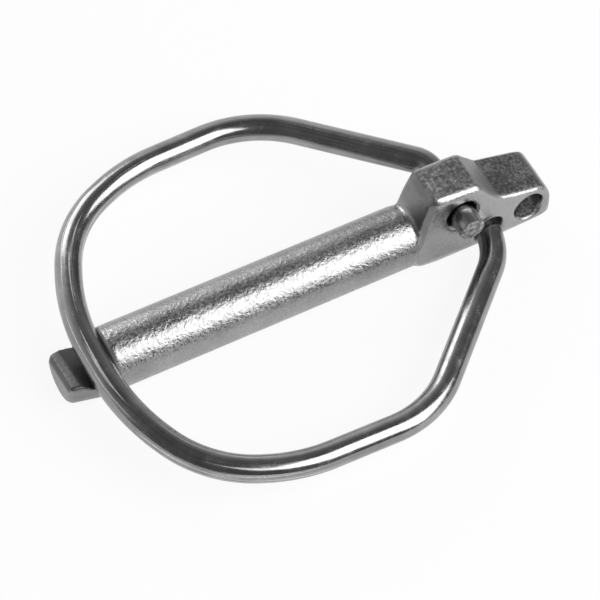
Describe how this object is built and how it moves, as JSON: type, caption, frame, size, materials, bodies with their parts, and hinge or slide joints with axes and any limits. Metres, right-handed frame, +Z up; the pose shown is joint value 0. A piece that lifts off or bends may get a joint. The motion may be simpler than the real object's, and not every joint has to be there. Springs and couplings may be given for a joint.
{
  "type": "linch pin",
  "caption": "Linch pin: a round steel shank with a stepped wire seat at its tip, a forged stepped head with cross holes, and a spring wire bow that folds over and snaps onto the tip.",
  "frame": {"origin": "on the shank's axis, where the shank meets the fillet under the head", "axes": "+X along the shank from the tip to the head, +Z up from the surface that the part lies on, with the crest of the head on top"},
  "size_m": [0.0831, 0.0631, 0.0163],
  "materials": {
    "pin": "bright zinc plate over a forged surface",
    "bow": "bright zinc plate on drawn spring wire"
  },
  "bodies": {
    "pin": {"pin": "pin"},
    "bow": {"bow": "bow"}
  },
  "joints": [
    {"name": "bow_fold", "type": "hinge", "parent": "pin", "child": "bow", "pos_m": [0.00785, 0, 0.0055], "axis": [0, 1, 0], "range_deg": [0, 180]}
  ]
}
